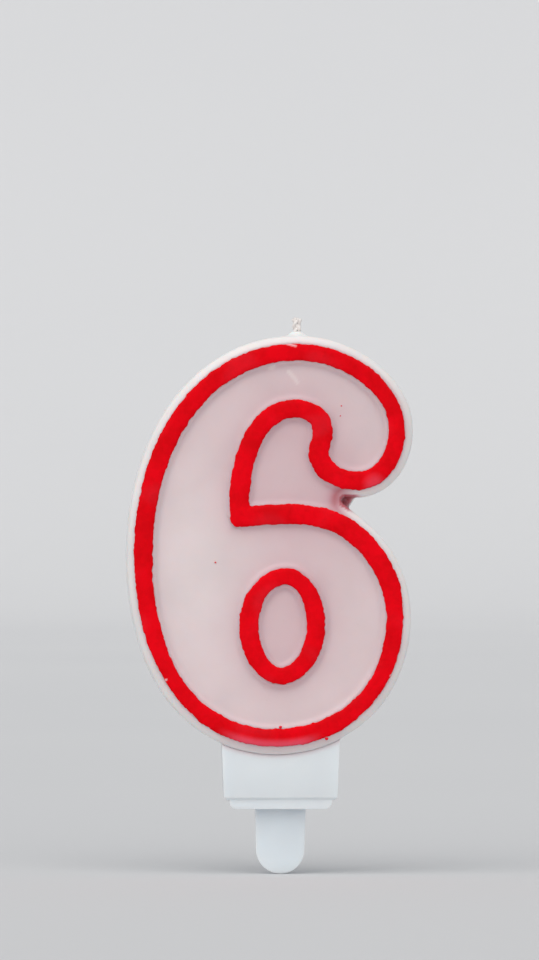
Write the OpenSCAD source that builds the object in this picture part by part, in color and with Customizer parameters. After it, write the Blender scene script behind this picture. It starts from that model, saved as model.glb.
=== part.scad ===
// Number birthday candle: a cast wax figure six with a raised red outline, a wick and a plastic holder.
// Millimetres. The front faces -Y, +Z is up, and the origin is the middle of the seat that rests on the cake.

/* [Figure] */
// Height of the painted outline's centre line, from its foot to its crown
outline_h = 69.5; // [66:0.5:80]
// Height of the outline's foot above the cake
foot_z = 12.9; // [12.4:0.1:16]
// Thickness of the cast wax, back face to front face
body_t = 10; // [8:0.5:14]
// Reach of the wax past the outline's centre line at the front face
front_margin = 2.45; // [2.4:0.05:2.6]
// Reach of the wax past the outline's centre line at the back, where the mould's draft ends
back_margin = 3.1; // [2.9:0.05:3.1]
// Rounding of the front and back edges
edge_r = 0.5; // [0.2:0.1:0.8]

/* [Outline] */
// Height of the moulded rib that carries the painted line
rib_h = 0.6; // [0.5:0.1:1.2]
// Width of the rib at its crest
rib_crest_w = 3.8; // [3.6:0.1:4]
// Width of the rib where it leaves the face
rib_root_w = 4.7; // [4.4:0.1:4.8]
// Width of the painted line
line_w = 3.3; // [3:0.1:3.8]
// Thickness of the red wax at the middle of the line
line_t = 0.25; // [0.2:0.05:0.6]

/* [Wick] */
// Diameter of the plaited wick
wick_d = 1.8; // [1.2:0.1:2.2]
// Height of the wick above the wax
wick_out = 3.2; // [2:0.1:12]

/* [Holder] */
// Width of the cup at its shoulders
cup_top_w = 21.4; // [20:0.1:24]
// Width of the cup at its foot
cup_foot_w = 20.5; // [19.5:0.1:24]
// Depth of the cup from front to back, at its shoulders
cup_top_d = 9; // [8.6:0.1:9.6]
// Depth of the cup from front to back, at its foot
cup_foot_d = 8.5; // [8.4:0.1:9.6]
// Thickness of the cup's wall at the foot
cup_wall = 1.1; // [0.8:0.1:1.3]
// Width of the plinth under the cup
plinth_w = 18.5; // [16:0.1:20]
// Depth of the plinth from front to back
plinth_d = 7.8; // [6:0.1:8.2]
// Height of the plinth
plinth_h = 1.6; // [1.4:0.1:4]
// Width of the tongue that is pushed into the cake, at its root
tongue_w = 9.2; // [6:0.1:12]
// Width of the tongue where its round end begins
tongue_tip_w = 8.8; // [4:0.1:9]
// Length of the tongue below the plinth
tongue_l = 11.8; // [8:0.1:40]
// Thickness of the tongue at its root
tongue_root_t = 2.4; // [1.6:0.1:4]
// Thickness of the tongue at its tip
tongue_tip_t = 1.2; // [0.8:0.1:1.6]

/* [Fits] */
// Room between the figure's plug and the cup, on each side
plug_gap = 0.15; // [0.1:0.05:0.3]
// Room between the figure's round underside and the cup's mouth
mouth_gap = 0.12; // [0.1:0.02:0.4]
// Room round the wick in the wax
wick_gap = 0.02; // [0.01:0.01:0.05]

/* [Hidden] */
$fn = 64;

wax_color = [0.9, 0.87, 0.87];
red_color = [0.84, 0.03, 0.1];
wick_color = [0.93, 0.91, 0.9];
plastic_color = [0.85, 0.87, 0.89];

// The outline is drawn on a grid on which its centre line is 69.5 high. x runs from the holder's
// middle and z from the outline's foot.
drawn_h = 69.5;
grid = outline_h / drawn_h;
// The bowl's underside is very nearly round: its centre and the radius of the centre line
bowl_c = [-0.9, 22.9];
bowl_r = 22.9;

front_y = -body_t / 2;
back_y = body_t / 2;
crest_y = front_y - rib_h;
line_y = crest_y - line_t;
// Depth that the ribs reach into the slab, so that they are one casting with it. It is small enough
// for their flanks, which widen as they go in, to stay inside the slab's rounded edge
rib_sink = 0.2;
// The red line's section, as shares of its width and thickness: the half width of its flat top, and the
// place where its edge turns down
line_flat = 0.25;
line_turn = [0.46, 0.6];
// Share of an edge's rounding that its middle point cuts off
edge_cut = 0.3;

cup_z = plinth_h;
// Rise of the socket's floor above the plinth, and the room left under the plug
floor_rise = 0.2;
plug_lift = 0.3;
// Overlap of the plug with the slab, and rise of the cup's shoulders beside the figure
plug_bury = 2;
shoulder_rise = 0.3;
socket_w = cup_foot_w - 2 * cup_wall;
socket_d = cup_foot_d - 2 * cup_wall;
plug_w = socket_w - 2 * plug_gap;
plug_d = socket_d - 2 * plug_gap;
socket_z = cup_z + floor_rise;
plug_z = socket_z + plug_lift;
plug_top_z = foot_z + plug_bury;
cup_top_z = foot_z + shoulder_rise;
cup_chamfer = 0.5;
mouth_sides = 180;
plinth_r = 1.3;

// A node of the outline: place, heading on arrival and on leaving in degrees, the reach of the
// curve's handles before and after it, and the steps to the next node.
function smooth(x, z, heading, before, after, steps) = [x, z, heading, heading, before, after, steps];
function corner(x, z, arrive, leave, before, after, steps) = [x, z, arrive, leave, before, after, steps];

// Nodes shared by the red outline and the wax's own edge, anticlockwise from the top
crown = smooth(3, 69.5, 180, 9, 16, 24);
left_side = smooth(-24.8, 32.6, 270, 22, 19, 22);
bowl_foot = smooth(-1, 0, 0, 15, 12.5, 18);
bowl_right = smooth(20.5, 21.6, 90, 12.5, 5.5, 10);
hook_foot = smooth(13.7, 46.3, 0, 4, 4.3, 11);
hook_right = smooth(20.9, 55.6, 90, 5.2, 7.3, 16);

// The red outline turns in at the bowl's shoulder and runs round the gap of the figure
contour_nodes = [
    crown,
    left_side,
    bowl_foot,
    bowl_right,
    smooth(14.5, 35.7, 136, 5.5, 4.5, 8),
    smooth(1, 40.3, 180, 6.5, 3, 3),
    corner(-7.3, 39.8, 184, 98, 3, 4.8, 5),
    smooth(-4.6, 54.7, 59, 4.8, 3.2, 8),
    smooth(2.4, 59.3, 0, 3, 3, 9),
    smooth(7.5, 55.3, 270, 2.5, 1.4, 4),
    smooth(6.8, 51.3, 270, 1.4, 2.6, 9),
    hook_foot,
    hook_right,
];

// The wax fills the gap, and its own edge turns round the short notch between bowl and hook
edge_nodes = [
    crown,
    left_side,
    bowl_foot,
    bowl_right,
    smooth(14.5, 35.7, 136, 5.5, 2, 3),
    smooth(9.2, 40, 140, 2, 1.15, 5),
    smooth(7.9, 42.8, 90, 1.15, 2.05, 8),
    smooth(11.6, 46.5, 0, 2.05, 0.9, 2),
    smooth(13.7, 46.3, 0, 0.8, 4.3, 11),
    hook_right,
];
// A point that sees the whole of the wax's edge, above the notch
edge_hub = [0, 45.5];

// The eye of the bowl, a tall oval that leans a little to the right
counter_nodes = [
    smooth(-5.8, 20.1, 270, 5.2, 5, 11),
    smooth(-0.2, 11.1, 0, 2.6, 3.6, 11),
    smooth(6.3, 20.6, 90, 5.2, 4.2, 11),
    smooth(1, 29.1, 180, 2.9, 3.7, 11),
];

// Points of a closed curve through its nodes, as [x, z] in the part's frame
function place(n) = [n[0] * grid, n[1] * grid + foot_z];
function along(heading, reach) = reach * grid * [cos(heading), sin(heading)];
function cubic(p, q, r, s, t) =
    pow(1 - t, 3) * p + 3 * pow(1 - t, 2) * t * q + 3 * (1 - t) * t * t * r + pow(t, 3) * s;
function stretch(a, b) =
    let (p = place(a), s = place(b), q = p + along(a[3], a[5]), r = s - along(b[2], b[4]))
    [for (i = [0 : a[6] - 1]) cubic(p, q, r, s, i / a[6])];
function curve(nodes) =
    [for (i = [0 : len(nodes) - 1]) each stretch(nodes[i], nodes[(i + 1) % len(nodes)])];

// Outward direction at a point of a closed curve, lengthened so that both of its sides move equally
function side_normal(a, b) = let (d = (b - a) / norm(b - a)) [d[1], -d[0]];
function outward(points, i) =
    let (
        n = len(points),
        before = side_normal(points[(i + n - 1) % n], points[i]),
        after = side_normal(points[i], points[(i + 1) % n])
    )
    (before + after) / (1 + before * after);

// A wall that follows a closed curve. section lists [outward offset, y] round the wall's own section.
// With a hub it lists them from back to front, and two flat faces fan out from the hub to close a slab.
module band(points, section, hub = undef) {
    is_slab = !is_undef(hub);
    stations = len(points);
    rows = len(section);
    last = rows - 1;
    back_hub = stations * rows;
    front_hub = back_hub + 1;
    rim = [
        for (i = [0 : stations - 1])
            for (s = section)
                let (p = points[i] + s[0] * outward(points, i))
                [p[0], s[1], p[1]]
    ];
    hubs = is_slab ? [[hub[0], section[0][1], hub[1]], [hub[0], section[last][1], hub[1]]] : [];
    walls = [
        for (i = [0 : stations - 1])
            for (j = [0 : is_slab ? last - 1 : last])
                let (
                    next = (i + 1) % stations,
                    a = i * rows + j,
                    b = i * rows + (j + 1) % rows,
                    c = next * rows + (j + 1) % rows,
                    d = next * rows + j
                )
                each [[a, b, c], [a, c, d]]
    ];
    ends = is_slab ? [
        for (i = [0 : stations - 1])
            let (next = (i + 1) % stations)
            each [[back_hub, i * rows, next * rows], [front_hub, next * rows + last, i * rows + last]]
    ] : [];
    polyhedron(concat(rim, hubs), concat(walls, ends));
}

// Section of the raised rib, from inside the slab to the crest. Its flanks keep their slope in the wax
function rib_section() =
    let (crest = rib_crest_w / 2, root = rib_root_w / 2, buried = root + (root - crest) * rib_sink / rib_h)
    [[-buried, front_y + rib_sink], [buried, front_y + rib_sink], [crest, crest_y], [-crest, crest_y]];

// Section of the red wax on the rib's crest, thin at its edges and fullest in its middle
function line_section() = [
    [-line_w / 2, crest_y],
    [line_w / 2, crest_y],
    [line_w * line_turn[0], crest_y - line_t * line_turn[1]],
    [line_w * line_flat, line_y],
    [-line_w * line_flat, line_y],
    [-line_w * line_turn[0], crest_y - line_t * line_turn[1]],
];

// Section of the slab's edge, back to front: rounded edges and a wall with the mould's draft
function slab_section() = [
    [back_margin - edge_r, back_y],
    [back_margin - edge_r * edge_cut, back_y - edge_r * edge_cut],
    [back_margin, back_y - edge_r],
    [front_margin + edge_r, front_y + edge_r],
    [front_margin + edge_r * (1 - edge_cut), front_y + edge_r * edge_cut],
    [front_margin, front_y],
];

// Slab and ribs in one skin. The resize keeps every size: it only joins the three bands into one mesh.
module casting() {
    resize([0, 0, 0]) {
        band(curve(edge_nodes), slab_section(), place(edge_hub));
        band(curve(contour_nodes), rib_section());
        band(curve(counter_nodes), rib_section());
    }
}

// Cast wax figure with its ribs, the plug that sits in the holder, and the wick's hole
module wax_body() {
    color(wax_color)
    difference() {
        union() {
            casting();
            translate([-plug_w / 2, -plug_d / 2, plug_z])
            cube([plug_w, plug_d, plug_top_z - plug_z]);
        }
        translate([crown[0] * grid, 0, plug_z - 1])
        cylinder(d = wick_d + 2 * wick_gap, h = outline_h + foot_z + 2 * back_margin - plug_z);
    }
}

// Red wax line along the figure's outline
module outline_contour() {
    color(red_color)
    band(curve(contour_nodes), line_section());
}

// Red wax ring round the eye of the bowl
module outline_counter() {
    color(red_color)
    band(curve(counter_nodes), line_section());
}

// Plaited cotton wick, from the plug's underside to its tip above the crown
module wick() {
    color(wick_color)
    translate([crown[0] * grid, 0, plug_z])
    cylinder(d = wick_d, h = foot_z + outline_h + back_margin + wick_out - plug_z);
}

// Trapezium that stands on z = 0, with small chamfers at its foot
module tapered_profile(foot, top, height, chamfer) {
    polygon([
        [-foot / 2 + chamfer, 0],
        [foot / 2 - chamfer, 0],
        [foot / 2, chamfer],
        [top / 2, height],
        [-top / 2, height],
        [-foot / 2, chamfer],
    ]);
}

// Radius of the cup's mouth at a depth y: the wax's draft carried on to the slab's faces, and the gap
function draft_margin(y) =
    let (
        front = [front_y + edge_r, front_margin + edge_r],
        back = [back_y - edge_r, back_margin]
    )
    front[1] + (back[1] - front[1]) * (y - front[0]) / (back[0] - front[0]);
function mouth_r(y) = bowl_r * grid + draft_margin(y) + mouth_gap;

// Outside of the cup: tapered in both directions, with a mouth that follows the figure's underside
module cup_shell() {
    height = cup_top_z - cup_z;
    difference() {
        translate([0, 0, cup_z])
        intersection() {
            rotate([90, 0, 0])
            linear_extrude(height = 2 * cup_top_d, center = true)
            tapered_profile(cup_foot_w, cup_top_w, height, cup_chamfer);
            rotate([90, 0, 90])
            linear_extrude(height = 2 * cup_top_w, center = true)
            tapered_profile(cup_foot_d, cup_top_d, height, cup_chamfer);
        }
        translate([bowl_c[0] * grid, 0, bowl_c[1] * grid + foot_z])
        rotate([-90, 0, 0])
        cylinder(r1 = mouth_r(front_y), r2 = mouth_r(back_y), h = body_t, center = true, $fn = mouth_sides);
    }
}

// Plinth with round lower corners
module plinth() {
    rotate([90, 0, 0])
    linear_extrude(height = plinth_d, center = true) {
        translate([-plinth_w / 2, plinth_r])
        square([plinth_w, plinth_h - plinth_r + cup_chamfer]);
        translate([-plinth_w / 2 + plinth_r, 0])
        square([plinth_w - 2 * plinth_r, plinth_h]);
        for (side = [-1, 1])
            translate([side * (plinth_w / 2 - plinth_r), plinth_r])
            circle(r = plinth_r);
    }
}

// Flat tongue with a round end, thinner towards its tip
module tongue() {
    straight = tongue_l - tongue_tip_w / 2;
    intersection() {
        rotate([90, 0, 0])
        linear_extrude(height = 2 * tongue_root_t, center = true) {
            translate([0, -straight])
            tapered_profile(tongue_tip_w, tongue_w, straight + plinth_h / 2, 0);
            translate([0, -straight])
            circle(d = tongue_tip_w);
        }
        translate([0, 0, -tongue_l])
        rotate([90, 0, 90])
        linear_extrude(height = 2 * tongue_w, center = true)
        tapered_profile(tongue_tip_t, tongue_root_t, tongue_l + plinth_h / 2, 0);
    }
}

// Holder moulded in one: a cup for the figure's plug, its plinth and the tongue
module holder() {
    color(plastic_color)
    difference() {
        union() {
            cup_shell();
            plinth();
            tongue();
        }
        translate([-socket_w / 2, -socket_d / 2, socket_z])
        cube([socket_w, socket_d, foot_z]);
    }
}

wax_body();
outline_contour();
outline_counter();
wick();
holder();
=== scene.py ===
"""Looks of the number birthday candle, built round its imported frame.

The candle is a cast paraffin six with a moulded rib on its face. Red wax is laid along the rib, a plaited
cotton wick runs down through the wax, and a polypropylene holder carries the figure on the cake. Lengths
are given in millimetres and turned to metres by mm(), and every piece lies where its CAD node lies.
"""

import logging
import math
import random
from dataclasses import dataclass
from enum import Enum

import bmesh
import bpy
import numpy as np
from mathutils import Matrix, Vector, noise
from mathutils.bvhtree import BVHTree
from mathutils.kdtree import KDTree


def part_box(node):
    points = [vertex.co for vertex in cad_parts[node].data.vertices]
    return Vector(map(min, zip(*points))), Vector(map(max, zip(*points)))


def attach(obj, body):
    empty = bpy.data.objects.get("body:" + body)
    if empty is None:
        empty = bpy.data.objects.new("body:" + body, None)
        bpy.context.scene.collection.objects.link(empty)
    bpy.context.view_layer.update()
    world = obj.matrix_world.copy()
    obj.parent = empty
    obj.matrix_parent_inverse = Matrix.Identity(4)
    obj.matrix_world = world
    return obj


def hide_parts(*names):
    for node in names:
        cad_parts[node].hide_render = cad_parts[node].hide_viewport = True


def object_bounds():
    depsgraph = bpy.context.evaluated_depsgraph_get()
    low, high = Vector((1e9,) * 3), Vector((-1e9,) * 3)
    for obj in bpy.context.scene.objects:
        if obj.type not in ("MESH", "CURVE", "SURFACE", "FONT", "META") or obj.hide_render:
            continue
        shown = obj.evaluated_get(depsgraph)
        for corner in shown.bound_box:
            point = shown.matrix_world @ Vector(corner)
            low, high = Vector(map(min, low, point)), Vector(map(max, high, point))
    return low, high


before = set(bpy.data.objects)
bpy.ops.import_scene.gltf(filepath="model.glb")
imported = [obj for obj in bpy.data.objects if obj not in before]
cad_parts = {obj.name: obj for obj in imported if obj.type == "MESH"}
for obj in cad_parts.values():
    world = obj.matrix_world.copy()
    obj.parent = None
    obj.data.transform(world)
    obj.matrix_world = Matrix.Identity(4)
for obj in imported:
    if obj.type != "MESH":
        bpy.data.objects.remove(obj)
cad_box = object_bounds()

HOLDER_BODY = "holder"
FIGURE_BODY = "figure"
MIX_FACTOR, MIX_A, MIX_B, MIX_RESULT = 0, 6, 7, 2

log = logging.getLogger("candle")


# ------------------------------------------------------------ helpers


def mm(length: float) -> float:
    """Millimetres as metres."""
    return length * 0.001


def point(x: float, y: float, z: float) -> Vector:
    """A point given in millimetres, in metres."""
    return Vector((mm(x), mm(y), mm(z)))


def per_metre(size_mm: float) -> float:
    """The scale of a pattern on Object coordinates whose features are size_mm across."""
    return 1.0 / mm(size_mm)


def linear(hex_colour: str) -> tuple[float, float, float, float]:
    """Turns an sRGB hex colour to linear light.

    Args:
        hex_colour: six hex digits, such as "dc0217".

    Returns:
        Linear red, green and blue, and an alpha of 1.
    """
    parts = [int(hex_colour[i:i + 2], 16) / 255 for i in (0, 2, 4)]
    light = [p / 12.92 if p <= 0.04045 else ((p + 0.055) / 1.055) ** 2.4 for p in parts]
    return (*light, 1.0)


def ease(value: float, low: float, high: float) -> float:
    """Rises smoothly from 0 at low to 1 at high, or falls where high is the smaller."""
    share = min(1.0, max(0.0, (value - low) / (high - low)))
    return share * share * (3 - 2 * share)


def add_node(
    tree: bpy.types.NodeTree,
    kind: str,
    settings: dict[str, object] | None = None,
    inputs: dict[str | int, object] | None = None,
) -> bpy.types.Node:
    """Adds a shader node with its settings, and sets or links its inputs.

    Args:
        tree: the material's node tree.
        kind: the node's type, such as "ShaderNodeTexNoise".
        settings: names and values of the node's own settings.
        inputs: input names or numbers, each with a value or with the output socket it is linked to.

    Returns:
        The new node.
    """
    node = tree.nodes.new(kind)
    for name, value in (settings or {}).items():
        setattr(node, name, value)
    for name, value in (inputs or {}).items():
        if isinstance(value, bpy.types.NodeSocket):
            tree.links.new(value, node.inputs[name])
        else:
            node.inputs[name].default_value = value
    return node


def new_material(name: str, **sockets: object) -> tuple[bpy.types.Material, bpy.types.Node]:
    """Makes a material with one Principled shader.

    Args:
        name: the material's name.
        sockets: values for the shader's own sockets, with _ in place of the spaces in their names.

    Returns:
        The material, and its shader node.
    """
    material = bpy.data.materials.new(name)
    material.use_nodes = True
    shader = next(n for n in material.node_tree.nodes if n.type == "BSDF_PRINCIPLED")
    for key, value in sockets.items():
        shader.inputs[key.replace("_", " ")].default_value = value
    return material, shader


def merged_copy(node: str) -> bmesh.types.BMesh:
    """Copies a CAD node's mesh and merges its loose triangles.

    Args:
        node: the CAD node's name.

    Returns:
        The copy, as a bmesh of its own.
    """
    shape = bmesh.new()
    shape.from_mesh(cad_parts[node].data)
    bmesh.ops.remove_doubles(shape, verts=shape.verts, dist=mm(0.002))
    return shape


def with_modifier(shape: bmesh.types.BMesh, kind: str, **settings: object) -> bmesh.types.BMesh:
    """Runs one modifier over a shape and applies it.

    Args:
        shape: the shape, which is freed.
        kind: the modifier's type, such as "REMESH".
        settings: the modifier's settings.

    Returns:
        The shape that comes out.
    """
    mesh = bpy.data.meshes.new("work")
    shape.to_mesh(mesh)
    shape.free()
    carrier = bpy.data.objects.new("work", mesh)
    bpy.context.scene.collection.objects.link(carrier)
    modifier = carrier.modifiers.new("work", kind)
    for name, value in settings.items():
        setattr(modifier, name, value)
    result = bmesh.new()
    result.from_object(carrier, bpy.context.evaluated_depsgraph_get())
    bpy.data.objects.remove(carrier)
    bpy.data.meshes.remove(mesh)
    return result


def soften(shape: bmesh.types.BMesh, passes: int, factor: float = 0.5) -> None:
    """Rounds a shape by moving each vertex towards its neighbours.

    Args:
        shape: the shape to round.
        passes: how many times it is done.
        factor: how far a vertex moves each time.
    """
    for _ in range(passes):
        bmesh.ops.smooth_vert(
            shape, verts=shape.verts, factor=factor,
            use_axis_x=True, use_axis_y=True, use_axis_z=True,
        )
    shape.normal_update()


def add_attribute(mesh: bpy.types.Mesh, name: str, values: np.ndarray) -> None:
    """Stores one number for each vertex under a name that a material reads."""
    attribute = mesh.attributes.new(name, "FLOAT", "POINT")
    attribute.data.foreach_set("value", values.astype(np.float32))


def make_piece(
    name: str,
    shape: bmesh.types.BMesh,
    material: bpy.types.Material,
    body: str,
    replaced: tuple[str, ...] = (),
    sharp_angle: float = math.pi,
) -> bpy.types.Object:
    """Turns a finished shape into a piece of the object that rides on its body.

    Args:
        name: the piece's name.
        shape: its shape, which is freed.
        material: its finish.
        body: the CAD body that it moves with.
        replaced: the CAD nodes that it stands for.
        sharp_angle: edges that turn by more than this stay sharp.

    Returns:
        The new object.
    """
    for face in shape.faces:
        face.smooth = True
    mesh = bpy.data.meshes.new(name)
    shape.to_mesh(mesh)
    shape.free()
    if sharp_angle < math.pi:
        mesh.set_sharp_from_angle(angle=sharp_angle)
    mesh.materials.append(material)
    piece = bpy.data.objects.new(name, mesh)
    bpy.context.scene.collection.objects.link(piece)
    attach(piece, body)
    if replaced:
        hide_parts(*replaced)
    log.info("%s: %d triangles, rides on %s", name, sum(len(p.vertices) - 2 for p in mesh.polygons), body)
    return piece


# ------------------------------------------------------------ finishes


@dataclass(frozen=True)
class CastParaffin:
    """White paraffin with stearin, cast in a metal mould.

    The eye gets a milky body that light sinks into for a few millimetres, so edges glow and nothing is
    quite crisp, under a soft sheen that is uneven where the mould was. The pink beside the red lines is
    painted: a painted glow of their red light carried through the wax, and painted shade in the notch,
    its recess and at the seat.
    """

    milk: str = "efedec"
    # The pink of the painted glow beside the red lines.
    tint: str = "d1a8b0"
    # The deep pink of the painted shade in the notch and its recess.
    painted_shade_pink: str = "bd6a74"
    scuff: str = "f0e6e4"
    depth: float = mm(1.3)
    cloud_mm: float = 9.0
    grain_mm: float = 0.7
    pinhole_mm: float = 2.6

    def build(self) -> bpy.types.Material:
        """Makes the material."""
        material, shader = new_material(
            "cast_paraffin", Roughness=0.42, IOR=1.44, Subsurface_Weight=1.0, Subsurface_Scale=self.depth,
            Subsurface_Radius=(1.0, 0.72, 0.62), Coat_Weight=0.06, Coat_Roughness=0.3,
        )
        tree = material.node_tree
        place = add_node(tree, "ShaderNodeTexCoord").outputs["Object"]
        clouds = add_node(
            tree, "ShaderNodeTexNoise",
            inputs={"Vector": place, "Scale": per_metre(self.cloud_mm), "Detail": 3.0},
        )
        # How much painted glow and painted shade each place of the wax gets.
        glow_and_shade = add_node(tree, "ShaderNodeAttribute", {"attribute_name": "glow_and_shade"})
        scuffs = add_node(tree, "ShaderNodeAttribute", {"attribute_name": "scuff"})
        tinted = add_node(
            tree, "ShaderNodeMix", {"data_type": "RGBA"},
            {MIX_FACTOR: glow_and_shade.outputs["Fac"], MIX_A: linear(self.milk), MIX_B: linear(self.tint)},
        )
        # Past 1, the wax goes on from its tint to the deep pink of the painted shade.
        deepest = add_node(
            tree, "ShaderNodeMapRange",
            inputs={"Value": glow_and_shade.outputs["Fac"], "From Min": 1.0, "From Max": 1.5},
        )
        pooled = add_node(
            tree, "ShaderNodeMix", {"data_type": "RGBA"},
            {
                MIX_FACTOR: deepest.outputs["Result"], MIX_A: tinted.outputs[MIX_RESULT],
                MIX_B: linear(self.painted_shade_pink),
            },
        )
        lift = add_node(
            tree, "ShaderNodeMapRange",
            inputs={
                "Value": clouds.outputs["Fac"],
                "From Min": 0.3, "From Max": 0.7, "To Min": 0.965, "To Max": 1.02,
            },
        )
        clouded = add_node(
            tree, "ShaderNodeVectorMath", {"operation": "SCALE"},
            {0: pooled.outputs[MIX_RESULT], "Scale": lift.outputs["Result"]},
        )
        scuffed = add_node(
            tree, "ShaderNodeMix", {"data_type": "RGBA"},
            {MIX_FACTOR: scuffs.outputs["Fac"], MIX_A: clouded.outputs["Vector"], MIX_B: linear(self.scuff)},
        )
        tree.links.new(scuffed.outputs[MIX_RESULT], shader.inputs["Base Color"])
        smears = add_node(
            tree, "ShaderNodeMapRange",
            inputs={
                "Value": clouds.outputs["Fac"],
                "From Min": 0.35, "From Max": 0.65, "To Min": 0.34, "To Max": 0.5,
            },
        )
        tree.links.new(smears.outputs["Result"], shader.inputs["Roughness"])
        grain = add_node(
            tree, "ShaderNodeTexNoise",
            inputs={"Vector": place, "Scale": per_metre(self.grain_mm), "Detail": 4.0},
        )
        grained = add_node(
            tree, "ShaderNodeBump",
            inputs={"Height": grain.outputs["Fac"], "Strength": 0.25, "Distance": mm(0.05)},
        )
        cells = add_node(
            tree, "ShaderNodeTexVoronoi", inputs={"Vector": place, "Scale": per_metre(self.pinhole_mm)},
        )
        pinholes = add_node(
            tree, "ShaderNodeMapRange",
            inputs={"Value": cells.outputs["Distance"], "From Min": 0.03, "From Max": 0.07},
        )
        pitted = add_node(
            tree, "ShaderNodeBump",
            inputs={
                "Height": pinholes.outputs["Result"], "Strength": 0.35, "Distance": mm(0.08),
                "Normal": grained.outputs["Normal"],
            },
        )
        tree.links.new(pitted.outputs["Normal"], shader.inputs["Normal"])
        return material


@dataclass(frozen=True)
class RedWaxPaint:
    """Dyed wax laid hot along the rib by a printing roller.

    The eye gets a dense saturated red with hardly any highlight, blotchy where more or less wax was left,
    and paler at thin places where the white rib shows through.
    """

    full: str = "ee0014"
    deep: str = "d9000d"
    thin: str = "e8627a"
    pale_mark: str = "f3c8ce"
    blotch_mm: float = 4.5
    streak_mm: float = 0.9
    ripple_mm: float = 1.1

    def build(self) -> bpy.types.Material:
        """Makes the material."""
        material, shader = new_material(
            "red_wax_paint", Roughness=0.5, IOR=1.44, Specular_IOR_Level=0.06, Subsurface_Weight=0.25,
            Subsurface_Scale=mm(0.3), Subsurface_Radius=(1.0, 0.12, 0.1),
        )
        tree = material.node_tree
        place = add_node(tree, "ShaderNodeTexCoord").outputs["Object"]
        blotches = add_node(
            tree, "ShaderNodeTexNoise",
            inputs={"Vector": place, "Scale": per_metre(self.blotch_mm), "Detail": 2.0},
        )
        streaks = add_node(
            tree, "ShaderNodeTexNoise",
            inputs={"Vector": place, "Scale": per_metre(self.streak_mm), "Detail": 3.0, "Distortion": 0.6},
        )
        both = add_node(
            tree, "ShaderNodeMix", inputs={0: 0.35, 2: blotches.outputs["Fac"], 3: streaks.outputs["Fac"]},
        )
        share = add_node(
            tree, "ShaderNodeMapRange", inputs={"Value": both.outputs[0], "From Min": 0.36, "From Max": 0.62},
        )
        red = add_node(
            tree, "ShaderNodeMix", {"data_type": "RGBA"},
            {MIX_FACTOR: share.outputs["Result"], MIX_A: linear(self.deep), MIX_B: linear(self.full)},
        )
        thin = add_node(tree, "ShaderNodeAttribute", {"attribute_name": "thin"})
        thinned = add_node(
            tree, "ShaderNodeMix", {"data_type": "RGBA"},
            {MIX_FACTOR: thin.outputs["Fac"], MIX_A: red.outputs[MIX_RESULT], MIX_B: linear(self.thin)},
        )
        # Pale pink strokes across the red.
        pale_mark = add_node(tree, "ShaderNodeAttribute", {"attribute_name": "pale_mark"})
        pale_marked = add_node(
            tree, "ShaderNodeMix", {"data_type": "RGBA"},
            {MIX_FACTOR: pale_mark.outputs["Fac"], MIX_A: thinned.outputs[MIX_RESULT], MIX_B: linear(self.pale_mark)},
        )
        tree.links.new(pale_marked.outputs[MIX_RESULT], shader.inputs["Base Color"])
        rough = add_node(
            tree, "ShaderNodeMapRange",
            inputs={
                "Value": both.outputs[0],
                "From Min": 0.35, "From Max": 0.65, "To Min": 0.42, "To Max": 0.58,
            },
        )
        tree.links.new(rough.outputs["Result"], shader.inputs["Roughness"])
        ripples = add_node(
            tree, "ShaderNodeTexNoise",
            inputs={"Vector": place, "Scale": per_metre(self.ripple_mm), "Detail": 3.0},
        )
        rippled = add_node(
            tree, "ShaderNodeBump",
            inputs={"Height": ripples.outputs["Fac"], "Strength": 0.3, "Distance": mm(0.05)},
        )
        tree.links.new(rippled.outputs["Normal"], shader.inputs["Normal"])
        return material


@dataclass(frozen=True)
class WaxedCotton:
    """Bleached cotton yarn, plaited and dipped in paraffin.

    The eye gets twisted white yarns whose hairs the wax has laid flat, a little glassy where it has filled
    the hollows.
    """

    yarn: str = "f4f0ee"
    hollow: str = "e2dad7"
    fibre_mm: float = 0.3

    def build(self) -> bpy.types.Material:
        """Makes the material."""
        material, shader = new_material(
            "waxed_cotton", Roughness=0.6, IOR=1.46, Sheen_Weight=0.08, Sheen_Roughness=0.4,
        )
        tree = material.node_tree
        place = add_node(tree, "ShaderNodeTexCoord").outputs["Object"]
        stretched = add_node(
            tree, "ShaderNodeMapping", inputs={"Vector": place, "Scale": (1.0, 1.0, 0.3)},
        )
        fibres = add_node(
            tree, "ShaderNodeTexNoise",
            inputs={"Vector": stretched.outputs["Vector"], "Scale": per_metre(self.fibre_mm), "Detail": 3.0},
        )
        tone = add_node(
            tree, "ShaderNodeMix", {"data_type": "RGBA"},
            {MIX_FACTOR: fibres.outputs["Fac"], MIX_A: linear(self.hollow), MIX_B: linear(self.yarn)},
        )
        tree.links.new(tone.outputs[MIX_RESULT], shader.inputs["Base Color"])
        raised = add_node(
            tree, "ShaderNodeBump",
            inputs={"Height": fibres.outputs["Fac"], "Strength": 0.25, "Distance": mm(0.03)},
        )
        tree.links.new(raised.outputs["Normal"], shader.inputs["Normal"])
        return material


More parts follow.
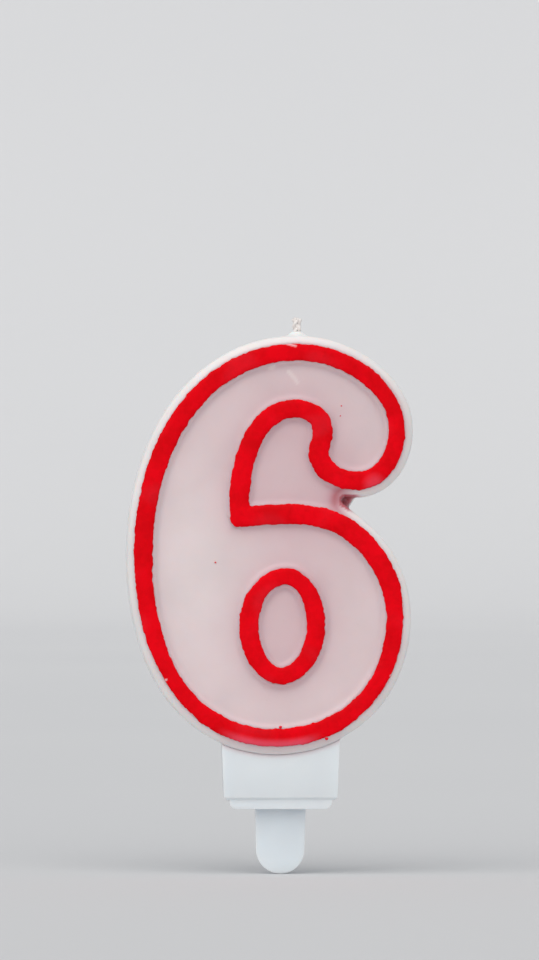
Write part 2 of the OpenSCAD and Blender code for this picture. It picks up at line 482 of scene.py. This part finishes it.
@dataclass(frozen=True)
class MouldedPolypropylene:
    """Natural polypropylene, injection moulded.

    The eye gets a cool milky white that light passes into, with a satin skin from the mould's spark-eroded
    steel and faint flow marks. Its mouth, where the figure sits, is pinker and a little darker: partly a
    pink tint taken from the wax, partly painted shade under the overhanging figure.
    """

    body: str = "e7edf1"
    flow: str = "dfe5ea"
    # Pinker and a little darker at the mouth: partly a pink tint from the wax, partly painted shade under the
    # overhanging figure.
    stain_and_shade: str = "e3c6ce"
    bowl: Vector = point(-0.9, 0, 35.8)
    stained_and_shaded: tuple[float, float] = (mm(25.4), mm(27.0))
    most_stain_and_shade: float = 0.85
    depth: float = mm(1.4)
    flow_mm: float = 7.0
    spark_mm: float = 0.35

    def build(self) -> bpy.types.Material:
        """Makes the material."""
        material, shader = new_material(
            "moulded_polypropylene", Roughness=0.36, IOR=1.49, Subsurface_Weight=0.9,
            Subsurface_Scale=self.depth, Subsurface_Radius=(0.9, 0.97, 1.0),
        )
        tree = material.node_tree
        place = add_node(tree, "ShaderNodeTexCoord").outputs["Object"]
        stretched = add_node(
            tree, "ShaderNodeMapping", inputs={"Vector": place, "Scale": (1.0, 1.0, 0.35)},
        )
        flows = add_node(
            tree, "ShaderNodeTexNoise",
            inputs={"Vector": stretched.outputs["Vector"], "Scale": per_metre(self.flow_mm), "Detail": 2.0},
        )
        tone = add_node(
            tree, "ShaderNodeMix", {"data_type": "RGBA"},
            {MIX_FACTOR: flows.outputs["Fac"], MIX_A: linear(self.flow), MIX_B: linear(self.body)},
        )
        centred = add_node(
            tree, "ShaderNodeVectorMath", {"operation": "SUBTRACT"}, {0: place, 1: self.bowl},
        )
        flat = add_node(
            tree, "ShaderNodeVectorMath", {"operation": "MULTIPLY"},
            {0: centred.outputs["Vector"], 1: (1.0, 0.0, 1.0)},
        )
        reach = add_node(tree, "ShaderNodeVectorMath", {"operation": "LENGTH"}, {0: flat.outputs["Vector"]})
        # Painted shade, with some pink tint, in a band round the mouth where the figure sits.
        mouth_tint_and_shade = add_node(
            tree, "ShaderNodeMapRange", {"interpolation_type": "SMOOTHSTEP"},
            {
                "Value": reach.outputs["Value"], "From Min": self.stained_and_shaded[0], "From Max": self.stained_and_shaded[1],
                "To Min": self.most_stain_and_shade, "To Max": 0.0,
            },
        )
        stained_and_shaded = add_node(
            tree, "ShaderNodeMix", {"data_type": "RGBA"},
            {MIX_FACTOR: mouth_tint_and_shade.outputs["Result"], MIX_A: tone.outputs[MIX_RESULT], MIX_B: linear(self.stain_and_shade)},
        )
        tree.links.new(stained_and_shaded.outputs[MIX_RESULT], shader.inputs["Base Color"])
        # The real grit is finer than this, and is drawn as coarse as it has to be to show.
        sparks = add_node(
            tree, "ShaderNodeTexNoise",
            inputs={"Vector": place, "Scale": per_metre(self.spark_mm), "Detail": 2.0},
        )
        satin = add_node(
            tree, "ShaderNodeMapRange",
            inputs={
                "Value": sparks.outputs["Fac"],
                "From Min": 0.3, "From Max": 0.7, "To Min": 0.32, "To Max": 0.44,
            },
        )
        tree.links.new(satin.outputs["Result"], shader.inputs["Roughness"])
        eroded = add_node(
            tree, "ShaderNodeBump",
            inputs={"Height": sparks.outputs["Fac"], "Strength": 0.3, "Distance": mm(0.02)},
        )
        tree.links.new(eroded.outputs["Normal"], shader.inputs["Normal"])
        return material


@dataclass(frozen=True)
class BackdropPaper:
    """Matt pale paper of the studio floor and sweep, plain but for a faint unevenness."""

    sheet: str = "d2d3d5"
    shade: str = "cdced1"

    def build(self) -> bpy.types.Material:
        """Makes the material."""
        material, shader = new_material("backdrop_paper", Roughness=0.9, Specular_IOR_Level=0.1)
        tree = material.node_tree
        place = add_node(tree, "ShaderNodeTexCoord").outputs["Object"]
        drift = add_node(tree, "ShaderNodeTexNoise", inputs={"Vector": place, "Scale": per_metre(400.0)})
        tone = add_node(
            tree, "ShaderNodeMix", {"data_type": "RGBA"},
            {MIX_FACTOR: drift.outputs["Fac"], MIX_A: linear(self.shade), MIX_B: linear(self.sheet)},
        )
        tree.links.new(tone.outputs[MIX_RESULT], shader.inputs["Base Color"])
        return material


# ------------------------------------------------------------ studio


@dataclass
class Studio:
    """Camera, soft lights and a pale sweep, none of them part of the candle."""

    lens_mm: float = 290.0
    sensor_mm: float = 36.0
    clip: tuple[float, float] = (mm(10), 20.0)
    distance: float = mm(1392.0)
    turn: float = math.radians(-1.5)
    aim: Vector = point(-2.1, -6.2, 59.35)
    floor_gap: float = mm(0.05)
    sweep_start: float = 2.4
    sweep_radius: float = 0.9
    width: float = 9.0
    wall: float = 3.0
    world_strength: float = 0.44
    key_strength: float = 2.1
    key_rise: float = math.radians(48)
    key_turn: float = math.radians(-16)
    softness: float = math.radians(80)

    def place_camera(self) -> None:
        """Puts the camera level with the figure's middle, a little to the left of square on."""
        data = bpy.data.cameras.new("camera")
        data.lens = self.lens_mm
        data.sensor_width = self.sensor_mm
        data.clip_start, data.clip_end = self.clip
        camera = bpy.data.objects.new("camera", data)
        away = Vector((math.sin(self.turn), -math.cos(self.turn), 0))
        camera.location = self.aim + away * self.distance
        camera.rotation_euler = (-away).to_track_quat("-Z", "Y").to_euler()
        bpy.context.scene.collection.objects.link(camera)
        bpy.context.scene.camera = camera

    def lay_sweep(self) -> None:
        """Lays the floor and turns it up in one curve behind the candle."""
        paper = bmesh.new()
        bmesh.ops.create_grid(paper, x_segments=1, y_segments=1, size=0.5)
        depth = 2 * self.sweep_start
        bmesh.ops.scale(paper, vec=(self.width, depth, 1), verts=paper.verts)
        floor_z = cad_box[0].z - self.floor_gap
        bmesh.ops.translate(paper, vec=(0, 0, floor_z), verts=paper.verts)
        rear = [e for e in paper.edges if all(v.co.y > 0 for v in e.verts)]
        turned = bmesh.ops.spin(
            paper, geom=rear, cent=(0, self.sweep_start, floor_z + self.sweep_radius), axis=(1, 0, 0),
            angle=math.pi / 2, steps=24,
        )
        top = [g for g in turned["geom_last"] if isinstance(g, bmesh.types.BMEdge)]
        raised = bmesh.ops.extrude_edge_only(paper, edges=top)
        bmesh.ops.translate(
            paper, vec=(0, 0, self.wall),
            verts=[g for g in raised["geom"] if isinstance(g, bmesh.types.BMVert)],
        )
        bmesh.ops.remove_doubles(paper, verts=paper.verts, dist=mm(0.01))
        bmesh.ops.recalc_face_normals(paper, faces=paper.faces)
        for face in paper.faces:
            face.smooth = True
        mesh = bpy.data.meshes.new("sweep")
        paper.to_mesh(mesh)
        paper.free()
        mesh.materials.append(BackdropPaper().build())
        sweep = bpy.data.objects.new("sweep", mesh)
        bpy.context.scene.collection.objects.link(sweep)

    def light_it(self) -> None:
        """Hangs one broad soft light above the camera and fills the rest with even air."""
        world = bpy.data.worlds.new("studio_air")
        world.use_nodes = True
        sky = world.node_tree.nodes["Background"]
        sky.inputs["Color"].default_value = linear("f6fafd")
        sky.inputs["Strength"].default_value = self.world_strength
        bpy.context.scene.world = world
        data = bpy.data.lights.new("key", "SUN")
        data.energy = self.key_strength
        data.angle = self.softness
        data.color = linear("fffcf8")[:3]
        key = bpy.data.objects.new("key", data)
        level = Vector((math.sin(self.key_turn), -math.cos(self.key_turn), 0)) * math.cos(self.key_rise)
        away = level + Vector((0, 0, math.sin(self.key_rise)))
        key.location = self.aim + away
        key.rotation_euler = away.to_track_quat("Z", "Y").to_euler()
        bpy.context.scene.collection.objects.link(key)

    def build(self) -> None:
        """Sets the whole studio up."""
        scene = bpy.context.scene
        scene.view_settings.view_transform = "Standard"
        self.place_camera()
        self.lay_sweep()
        self.light_it()


# ------------------------------------------------------------ wax and paint


class RedLine(Enum):
    """The two red lines, by the CAD node that holds each."""

    CONTOUR = "outline_contour"
    EYE = "outline_counter"


def round_gap_corner(shape: bmesh.types.BMesh, radius: float, lowest_y: float) -> None:
    """Rounds the outer side of the line's corner at the foot of the gap.

    Args:
        shape: the line, or the wax whose rib carries it.
        radius: the corner's radius about the place where the line's middle turns.
        lowest_y: the depth that is rounded is in front of this.
    """
    turn_x, turn_z = mm(-7.3), mm(52.7)
    reach = radius * math.sqrt(2) + mm(0.5)
    for vert in shape.verts:
        out = Vector((vert.co.x - turn_x, 0, vert.co.z - turn_z))
        if vert.co.y < lowest_y and out.x < 0 and out.z < 0 and radius < out.length < reach:
            vert.co += out.normalized() * (radius - out.length)


@dataclass(frozen=True)
class Mark:
    """A short stroke on the front of the figure, in millimetres.

    Args:
        x: where its middle lies, from the holder's middle.
        z: its height above the cake seat.
        length: how long it is.
        turn: the direction it runs in, in degrees above +X.
        width: how wide it is.
    """

    x: float
    z: float
    length: float
    turn: float
    width: float

    def cover(self, place: Vector) -> float:
        """How far the stroke covers a place, from 0 to 1."""
        along = Vector((math.cos(math.radians(self.turn)), 0, math.sin(math.radians(self.turn))))
        offset = Vector((place.x - mm(self.x), 0, place.z - mm(self.z)))
        reach = min(mm(self.length) / 2, max(-mm(self.length) / 2, offset.dot(along)))
        return ease((offset - reach * along).length, mm(self.width), mm(self.width) * 0.4)


@dataclass
class WaxFigure:
    """The cast six: its slab, ribs and plug in one piece of wax."""

    voxel: float = mm(0.34)
    wave: float = mm(0.05)
    wave_mm: float = 7.0
    sink: float = mm(0.28)
    sink_reach: float = mm(6.0)
    halo_reach: float = mm(0.8)
    halo: float = 0.32
    spread_reach: float = mm(7.0)
    spread_gain: float = 3.7
    spread_floor: float = 0.2
    shore: tuple[float, float] = (mm(0.4), mm(1.5))
    notch: Vector = point(10.8, 0, 55.9)
    web_at: Vector = point(11.8, 1.5, 55.9)
    web_depth: float = mm(6.6)
    web_radii: tuple[float, float] = (mm(1.0), mm(1.6))
    recess_shade: float = 1.5
    seat_swell: float = mm(0.14)
    seat_z: tuple[float, float] = (mm(16.5), mm(14.52))
    seat_x: tuple[float, float] = (mm(11.5), mm(10.35))
    seat_shade: float = 0.18
    meniscus_h: float = mm(1.0)
    meniscus_r: float = mm(2.6)
    meniscus_rings: int = 5
    meniscus_sink: float = mm(0.25)
    meniscus_taper: float = 0.62
    meniscus_curve: float = 2.2
    notch_shade: float = 1.1
    notch_reach: float = mm(1.9)
    web_reach: float = mm(2.2)
    least_inland: float = 0.25
    least_glow_behind: float = 0.2
    back_share: float = 0.8
    front_ramp: tuple[float, float] = (0.3, 0.4)
    notch_fade: tuple[float, float] = (mm(2.0), mm(3.0))
    recess_front: float = 0.88
    recess_back: float = mm(1.0)
    # How squarely a face looks to the front or the back before it counts as wall, side, back or front.
    wall_lean: float = 0.45
    side_lean: float = 0.7
    back_lean: float = 0.6
    front_lean: float = 0.8
    most_glow_and_shade: float = 1.5
    rib_corner: float = mm(2.05)
    scuff_strength: float = 0.45
    scuffs: tuple[Mark, ...] = (
        Mark(1.9, 78.3, 1.5, 310, 0.55),
        Mark(2.7, 77.3, 0.9, 300, 0.50),
        Mark(-1.6, 79.6, 0.8, 20, 0.45),
    )

    def wick_place(self) -> Vector:
        """The wick's axis where it leaves the wax, in the frame."""
        low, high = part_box("wick")
        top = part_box("wax_body")[1].z
        return Vector(((low.x + high.x) / 2, (low.y + high.y) / 2, top))

    def cast(self) -> bmesh.types.BMesh:
        """Casts the figure: the CAD shape, wax drawn up round the wick and into the notch, and soft edges."""
        shape = merged_copy("wax_body")
        root = self.wick_place()
        self.draw_up(shape, root)
        # A plug of wax closes the notch's inner end behind the face; it carries the painted shade of the
        # recess.
        bmesh.ops.create_cone(
            shape, cap_ends=True, segments=24, radius1=self.web_radii[0], radius2=self.web_radii[1],
            depth=self.web_depth,
            matrix=Matrix.Translation(self.web_at) @ Matrix.Rotation(-math.pi / 2, 4, "X"),
        )
        shape = with_modifier(shape, "REMESH", mode="VOXEL", voxel_size=self.voxel, adaptivity=0.0)
        round_gap_corner(shape, self.rib_corner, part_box(RedLine.EYE.value)[1].y + mm(0.7))
        soften(shape, 3)
        return shape

    def draw_up(self, shape: bmesh.types.BMesh, root: Vector) -> None:
        """Draws the wax up round the wick in a hollow curve that flattens into the crown.

        Args:
            shape: the figure, to which the closed mound is added.
            root: the wick's axis at the crown.
        """
        buried = mm(2.0)
        mound = bmesh.ops.create_cone(
            shape, cap_ends=True, segments=40, radius1=self.meniscus_r, radius2=self.meniscus_r, depth=buried,
            matrix=Matrix.Translation(root - Vector((0, 0, buried / 2 + self.meniscus_sink))),
        )["verts"]
        top_z = max(v.co.z for v in mound)
        faces = {f for v in mound for f in v.link_faces}
        lid = next(f for f in faces if all(v.co.z > top_z - mm(0.01) for v in f.verts))
        for ring in range(1, self.meniscus_rings + 1):
            share = ring / self.meniscus_rings
            radius = self.meniscus_r * (1 - self.meniscus_taper * share)
            rise = self.meniscus_h * share ** self.meniscus_curve
            bmesh.ops.inset_region(shape, faces=[lid], thickness=mm(0.01), use_even_offset=False)
            for vert in lid.verts:
                flat = Vector((vert.co.x - root.x, vert.co.y - root.y, 0)).normalized() * radius
                vert.co = root + flat + Vector((0, 0, rise - self.meniscus_sink))

    def shore_gaps(self, shape: bmesh.types.BMesh) -> list[float]:
        """Measures how far each vertex is, seen from the front, from the figure's outer wall."""
        front_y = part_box("wax_body")[0].y
        wick_at = self.wick_place()
        wall = [
            v.co for v in shape.verts
            if abs(v.normal.y) < self.wall_lean and v.co.y > front_y * 0.5
            and math.hypot(v.co.x - wick_at.x, v.co.y) > self.meniscus_r
        ]
        tree = KDTree(len(wall))
        for i, place in enumerate(wall):
            tree.insert((place.x, 0, place.z), i)
        tree.balance()
        return [tree.find((v.co.x, 0, v.co.z))[2] for v in shape.verts]

    def seated(self, place: Vector) -> float:
        """How surely a place of the wax lies in the cup's mouth, from 0 to 1."""
        low_enough = ease(place.z, *self.seat_z)
        return low_enough * ease(abs(place.x), *self.seat_x)

    def weather(self, shape: bmesh.types.BMesh, gaps: list[float]) -> None:
        """Gives the skin its slow waves, and sinks the back where the thick wax shrank.

        Args:
            shape: the cast figure.
            gaps: each vertex's distance from the outer wall.
        """
        back_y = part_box("wax_body")[1].y
        for vert, gap in zip(shape.verts, gaps):
            push = noise.noise(vert.co * per_metre(self.wave_mm)) * self.wave
            if abs(vert.normal.y) < self.side_lean:
                push += self.seat_swell * self.seated(vert.co)
            if vert.normal.y > self.back_lean and vert.co.y > back_y * self.back_share:
                push -= self.sink * ease(gap, 0, self.sink_reach)
            vert.co += vert.normal * push
        shape.normal_update()

    def glow_and_shade(self, places: np.ndarray, gaps: np.ndarray) -> np.ndarray:
        """Works out the painted glow beside the red lines and the painted shade in the notch, recess and
        seat.

        Args:
            places: the wax's vertices.
            gaps: each vertex's distance from the outer wall.

        Returns:
            A share for each vertex: up to 1 the wax turns to its tint, past 1 to its painted shade colour.
        """
        front_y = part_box("wax_body")[0].y
        # Painted glow: the wax near the red lines is tinted pink as if their red light ran into it; the halo
        # is its narrow part at the lines' edges.
        spread = np.zeros(len(places))
        nearest = np.full(len(places), 1.0)
        for line in RedLine:
            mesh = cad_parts[line.value].data
            tree = BVHTree.FromPolygons([v.co for v in mesh.vertices], [p.vertices for p in mesh.polygons])
            found = [tree.find_nearest(Vector(p), self.halo_reach * 5)[3] for p in places]
            nearest = np.minimum(nearest, [1.0 if d is None else d for d in found])
            for face in mesh.polygons:
                if face.normal.y < -self.front_lean:
                    gap = np.sqrt(((places - np.array(face.center)) ** 2).sum(axis=1))
                    spread += np.exp(-gap / self.spread_reach) * face.area
        spread = self.spread_gain * spread / (math.tau * self.spread_reach ** 2) - self.spread_floor
        halo = self.halo * np.exp(-nearest / self.halo_reach)
        # The painted glow is kept off the rim next to the outer wall and off faces further back, which the
        # lamp lights more, so these stay whiter as painted light.
        inland = np.clip((gaps - self.shore[0]) / (self.shore[1] - self.shore[0]), self.least_inland, 1)
        ahead = (front_y * self.front_ramp[0] - places[:, 1]) / (-front_y * self.front_ramp[1])
        at_front = np.clip(ahead, self.least_glow_behind, 1)
        # Painted shade: the narrow inner end of the notch is darkened to deep pink.
        notch_gap = np.hypot(places[:, 0] - self.notch.x, places[:, 2] - self.notch.z)
        forward = np.clip((self.notch_fade[0] - places[:, 1]) / self.notch_fade[1], 0, 1)
        pooled = self.notch_shade * forward * np.exp(-(notch_gap / self.notch_reach) ** 2)
        # Painted shade: the plug at the back of the notch is darkened to deep pink.
        web_gap = np.hypot(places[:, 0] - self.web_at.x, places[:, 2] - self.web_at.z)
        in_recess = (places[:, 1] > front_y * self.recess_front) * (places[:, 1] < self.recess_back)
        pooled += self.recess_shade * in_recess * np.exp(-(web_gap / self.web_reach) ** 4)
        # Painted shade: the wax low on the figure, beside the line where it sits in the cup, is tinted darker
        # pink.
        beside_line = (places[:, 1] < 0) * (gaps < self.shore[1])
        pooled += self.seat_shade * beside_line * np.array([self.seated(Vector(p)) for p in places])
        return np.clip((spread + halo) * inland * at_front + pooled, 0, self.most_glow_and_shade)

    def build(self, paraffin: bpy.types.Material) -> None:
        """Makes the piece."""
        shape = self.cast()
        gaps = self.shore_gaps(shape)
        self.weather(shape, gaps)
        tint = self.glow_and_shade(np.array([v.co[:] for v in shape.verts]), np.array(gaps))
        scuffed = np.array([
            max(mark.cover(v.co) for mark in self.scuffs) if v.co.y < 0 else 0 for v in shape.verts
        ])
        piece = make_piece("cast_wax_figure", shape, paraffin, FIGURE_BODY, ("wax_body",))
        add_attribute(piece.data, "glow_and_shade", tint)
        add_attribute(piece.data, "scuff", scuffed * self.scuff_strength)


@dataclass
class RedOutline:
    """The red wax on the ribs: the line round the figure and the ring round its eye."""

    voxel: float = mm(0.19)
    root: float = mm(0.35)
    rag: float = mm(0.16)
    rag_mm: float = 1.7
    nick: float = mm(0.13)
    nick_mm: float = 0.6
    ripple: float = mm(0.04)
    bowl_x: float = mm(-0.9)
    bowl_radius: float = mm(22.9)
    half_width: float = mm(1.65)
    pale_stroke_strength: float = 0.7
    gap_corner: float = mm(1.75)
    # The red is made paler along the lower outer edge of the bowl, over this range of x and distance out from
    # the bowl.
    low_edge_left: tuple[float, float] = (mm(-12), mm(-6))
    low_edge_right: tuple[float, float] = (mm(8), mm(3))
    low_edge_radial: tuple[float, float] = (mm(-0.1), mm(1.2))
    low_edge_share: float = 0.62
    hook_at: tuple[float, float] = (16.8, 58.6)
    hook_reach: tuple[float, float] = (mm(2.6), mm(0.6))
    hook_share: float = 0.32
    patch_share: float = 0.05
    patch_mm: float = 6.0
    # Spots along the line, x and z in mm, where it is broader (+) or thinner (-) by so many mm, and how
    # far each one spreads.
    spread: float = mm(4.5)
    spots: tuple[tuple[float, float, float], ...] = (
        (3.0, 82.4, -0.10), (-9.7, 78.8, -0.02), (-19.2, 68.7, 0.06), (-24.3, 53.4, 0.08),
        (-23.9, 35.7, -0.04), (-18.5, 22.1, -0.22), (-8.6, 14.2, -0.02), (4.9, 13.6, 0.04),
        (15.6, 20.3, -0.16), (20.4, 32.4, -0.09), (18.3, 43.6, 0.12), (10.5, 51.4, 0.20),
        (-4.5, 52.9, 0.20), (-3.9, 68.6, 0.12), (2.4, 72.2, 0.0), (7.2, 69.7, 0.18),
        (6.9, 63.3, 0.25), (12.4, 59.3, 0.05), (19.2, 62.4, -0.06), (20.5, 71.2, -0.24),
        (14.0, 79.1, -0.10), (-5.8, 33.0, 0.14), (-0.2, 24.0, -0.10), (6.3, 33.5, 0.06), (1.0, 42.0, -0.15),
    )
    # Pale pink strokes across the red at these places.
    pale_strokes: tuple[Mark, ...] = (
        Mark(1.8, 83.7, 1.7, 345, 0.27),
        Mark(-21.1, 23.2, 1.0, 25, 0.26),
        Mark(20.1, 24.3, 0.8, 30, 0.24),
    )

    def broadening(self, shape: bmesh.types.BMesh) -> np.ndarray:
        """Works out how much further than usual the line's edge reaches at each vertex.

        Args:
            shape: the line.

        Returns:
            A length for each vertex, blended from the spots nearest to it.
        """
        flat = np.array([(v.co.x, v.co.z) for v in shape.verts])
        total = np.zeros(len(flat))
        weights = np.full(len(flat), 1e-12)
        for x, z, extra in self.spots:
            gap = np.hypot(flat[:, 0] - mm(x), flat[:, 1] - mm(z))
            weight = np.exp(-(gap / self.spread) ** 2)
            total += weight * mm(extra)
            weights += weight
        return total / weights

    def lay(self, line: RedLine) -> bmesh.types.BMesh:
        """Lays one line: the CAD band, rooted in its rib and worn to soft uneven edges."""
        shape = merged_copy(line.value)
        under = [f for f in shape.faces if f.normal.y > 0.9]
        rooted = bmesh.ops.extrude_face_region(shape, geom=under)
        bmesh.ops.delete(shape, geom=under, context="FACES_KEEP_BOUNDARY")
        bmesh.ops.translate(
            shape, vec=(0, self.root, 0),
            verts=[g for g in rooted["geom"] if isinstance(g, bmesh.types.BMVert)],
        )
        shape = with_modifier(shape, "REMESH", mode="VOXEL", voxel_size=self.voxel, adaptivity=0.0)
        round_gap_corner(shape, self.gap_corner, 0.0)
        soften(shape, 2)
        for vert, extra in zip(shape.verts, self.broadening(shape)):
            flat = Vector((vert.co.x, 0, vert.co.z))
            side = Vector((vert.normal.x, 0, vert.normal.z))
            ragged = extra + noise.noise(flat * per_metre(self.rag_mm)) * self.rag
            ragged += noise.noise(flat * per_metre(self.nick_mm)) * self.nick
            rippled = noise.noise(flat * per_metre(self.rag_mm * 1.4)) * self.ripple
            vert.co += side * ragged + Vector((0, vert.normal.y * rippled, 0))
        shape.normal_update()
        return shape

    def thinness(self, place: Vector, bowl_z: float) -> float:
        """How thin the wax was laid at a place, from 0 to 1, with the red also made paler along the bowl's
        lower outer edge, where bowl_z is the bowl's middle height.
        """
        radial = math.hypot(place.x - self.bowl_x, place.z - bowl_z) - self.bowl_radius
        # The red is made paler along the lower outer edge of the bowl.
        across = ease(place.x, *self.low_edge_left) * ease(place.x, *self.low_edge_right)
        pooled = self.low_edge_share * across * ease(radial, *self.low_edge_radial) if place.z < bowl_z else 0
        hook_gap = math.hypot(place.x - mm(self.hook_at[0]), place.z - mm(self.hook_at[1]))
        hook = self.hook_share * ease(hook_gap, *self.hook_reach)
        patchy = self.patch_share * ease(noise.noise(place * per_metre(self.patch_mm)), 0.1, 0.55)
        return min(1.0, pooled + hook + patchy)

    def build(self, paint: bpy.types.Material) -> None:
        """Makes both lines."""
        names = {RedLine.CONTOUR: "red_outline", RedLine.EYE: "red_eye_ring"}
        bowl_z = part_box(RedLine.CONTOUR.value)[0].z + self.half_width + self.bowl_radius
        for line, name in names.items():
            shape = self.lay(line)
            thin = np.array([self.thinness(v.co, bowl_z) for v in shape.verts])
            pale_mark = np.array([max(pale_stroke.cover(v.co) for pale_stroke in self.pale_strokes) for v in shape.verts])
            piece = make_piece(name, shape, paint, FIGURE_BODY, (line.value,))
            add_attribute(piece.data, "thin", thin)
            add_attribute(piece.data, "pale_mark", pale_mark * self.pale_stroke_strength)


@dataclass
class PaintSpecks:
    """Small drops of red wax that landed beside the lines."""

    bead_shape: tuple[float, float, float] = (1.0, 0.5, 0.8)
    thinness: float = 0.15
    face_y: float = mm(-5.02)
    crest_y: float = mm(-5.65)
    drops: tuple[tuple[float, float, float], ...] = (
        (-11.8, 44.5, 0.17),
        (10.9, 72.7, 0.15),
        (10.7, 70.9, 0.13),
        (17.7, 72.4, 0.16),
    )
    nibs: tuple[tuple[float, float, float], ...] = ((-0.1, 14.85, 0.30), (8.2, 12.75, 0.34))

    def build(self, paint: bpy.types.Material) -> None:
        """Makes the drops on the face and the nibs on the rib's crest as one piece."""
        shape = bmesh.new()
        for spots, depth in ((self.drops, self.face_y), (self.nibs, self.crest_y)):
            for x, z, radius in spots:
                bead = bmesh.ops.create_icosphere(shape, subdivisions=2, radius=mm(radius))["verts"]
                bmesh.ops.scale(shape, vec=self.bead_shape, verts=bead)
                bmesh.ops.translate(shape, vec=(mm(x), depth, mm(z)), verts=bead)
        piece = make_piece("paint_specks", shape, paint, FIGURE_BODY)
        add_attribute(piece.data, "thin", np.full(len(piece.data.vertices), self.thinness))


# ------------------------------------------------------------ wick and holder


@dataclass
class PlaitedWick:
    """The cotton wick: three strands in a flat plait, each twisted from two plies.

    Its sway, thicknesses and spread are shares of the wick's radius, and uneven is a share of the fray.
    """

    strands: int = 3
    plies: int = 2
    pitch: float = mm(4.2)
    twist: float = mm(2.6)
    steps_per_pitch: int = 14
    fray: float = mm(1.1)
    sway: tuple[float, float] = (0.46, 0.27)
    ply_out: float = 0.2
    ply_thick: float = 0.31
    spread: float = 0.3
    uneven: float = 0.45
    seed: int = 6

    def ply_points(self, strand: int, ply: int, low: Vector, high: Vector, end: float) -> list[Vector]:
        """Follows one ply up the wick.

        Args:
            strand: which strand it is in.
            ply: which ply of the strand it is.
            low: the lowest corner of the wick's box.
            high: the highest corner of the wick's box.
            end: the height at which this ply was cut.

        Returns:
            Its points, from the bottom up.
        """
        radius = (high.x - low.x) / 2
        middle = Vector(((low.x + high.x) / 2, (low.y + high.y) / 2, 0))
        count = int((end - low.z) / self.pitch * self.steps_per_pitch)
        points = []
        for i in range(count + 1):
            z = low.z + (end - low.z) * i / count
            turn = math.tau * (z / self.pitch + strand / self.strands)
            spin = math.tau * (z / self.twist + ply / self.plies)
            open_up = 1 + self.spread * ease(z, high.z - self.fray, high.z)
            sway = Vector((math.sin(turn) * self.sway[0], math.sin(2 * turn) * self.sway[1], 0))
            strand_at = sway * radius * open_up
            ply_at = Vector((math.cos(spin), math.sin(spin), 0)) * radius * self.ply_out * open_up
            points.append(middle + strand_at + ply_at + Vector((0, 0, z)))
        return points

    def build(self, cotton: bpy.types.Material) -> None:
        """Makes the wick."""
        low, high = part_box("wick")
        chance = random.Random(self.seed)
        data = bpy.data.curves.new("plies", "CURVE")
        data.dimensions = "3D"
        data.bevel_depth = (high.x - low.x) / 2 * self.ply_thick
        data.bevel_resolution = 2
        data.use_fill_caps = True
        for strand in range(self.strands):
            for ply in range(self.plies):
                end = high.z - chance.uniform(0, self.uneven) * self.fray
                points = self.ply_points(strand, ply, low, high, end)
                spline = data.splines.new("POLY")
                spline.points.add(len(points) - 1)
                for knot, place in zip(spline.points, points):
                    knot.co = (*place, 1)
        carrier = bpy.data.objects.new("plies", data)
        bpy.context.scene.collection.objects.link(carrier)
        mesh = bpy.data.meshes.new_from_object(carrier.evaluated_get(bpy.context.evaluated_depsgraph_get()))
        shape = bmesh.new()
        shape.from_mesh(mesh)
        bpy.data.objects.remove(carrier)
        bpy.data.curves.remove(data)
        bpy.data.meshes.remove(mesh)
        bmesh.ops.remove_doubles(shape, verts=shape.verts, dist=mm(0.001))
        make_piece("plaited_wick", shape, cotton, FIGURE_BODY, ("wick",))


@dataclass
class CakeHolder:
    """The moulded holder: cup, plinth and tongue in one shot of plastic."""

    edge_round: float = mm(0.16)
    segments: int = 3
    sharp: float = math.radians(22)

    def build(self, plastic: bpy.types.Material) -> None:
        """Makes the holder from its CAD shape, with every edge rounded as a mould leaves it."""
        shape = merged_copy("holder")
        bmesh.ops.dissolve_limit(
            shape, angle_limit=math.radians(0.5), verts=shape.verts, edges=shape.edges,
            use_dissolve_boundaries=False,
        )
        edges = [e for e in shape.edges if len(e.link_faces) == 2 and e.calc_face_angle() > self.sharp]
        bmesh.ops.bevel(
            shape, geom=edges, offset=self.edge_round, offset_type="OFFSET", segments=self.segments,
            profile=0.5, affect="EDGES", clamp_overlap=True, material=-1,
        )
        make_piece(
            "moulded_holder", shape, plastic, HOLDER_BODY, ("holder",),
            sharp_angle=math.radians(38),
        )


# ------------------------------------------------------------ the candle


def main() -> None:
    """Builds the studio and the candle, piece by piece."""
    logging.basicConfig(level=logging.INFO, format="%(name)s: %(message)s")
    Studio().build()
    paint = RedWaxPaint().build()
    WaxFigure().build(CastParaffin().build())
    RedOutline().build(paint)
    PaintSpecks().build(paint)
    PlaitedWick().build(WaxedCotton().build())
    CakeHolder().build(MouldedPolypropylene().build())


if __name__ == "__main__":
    main()
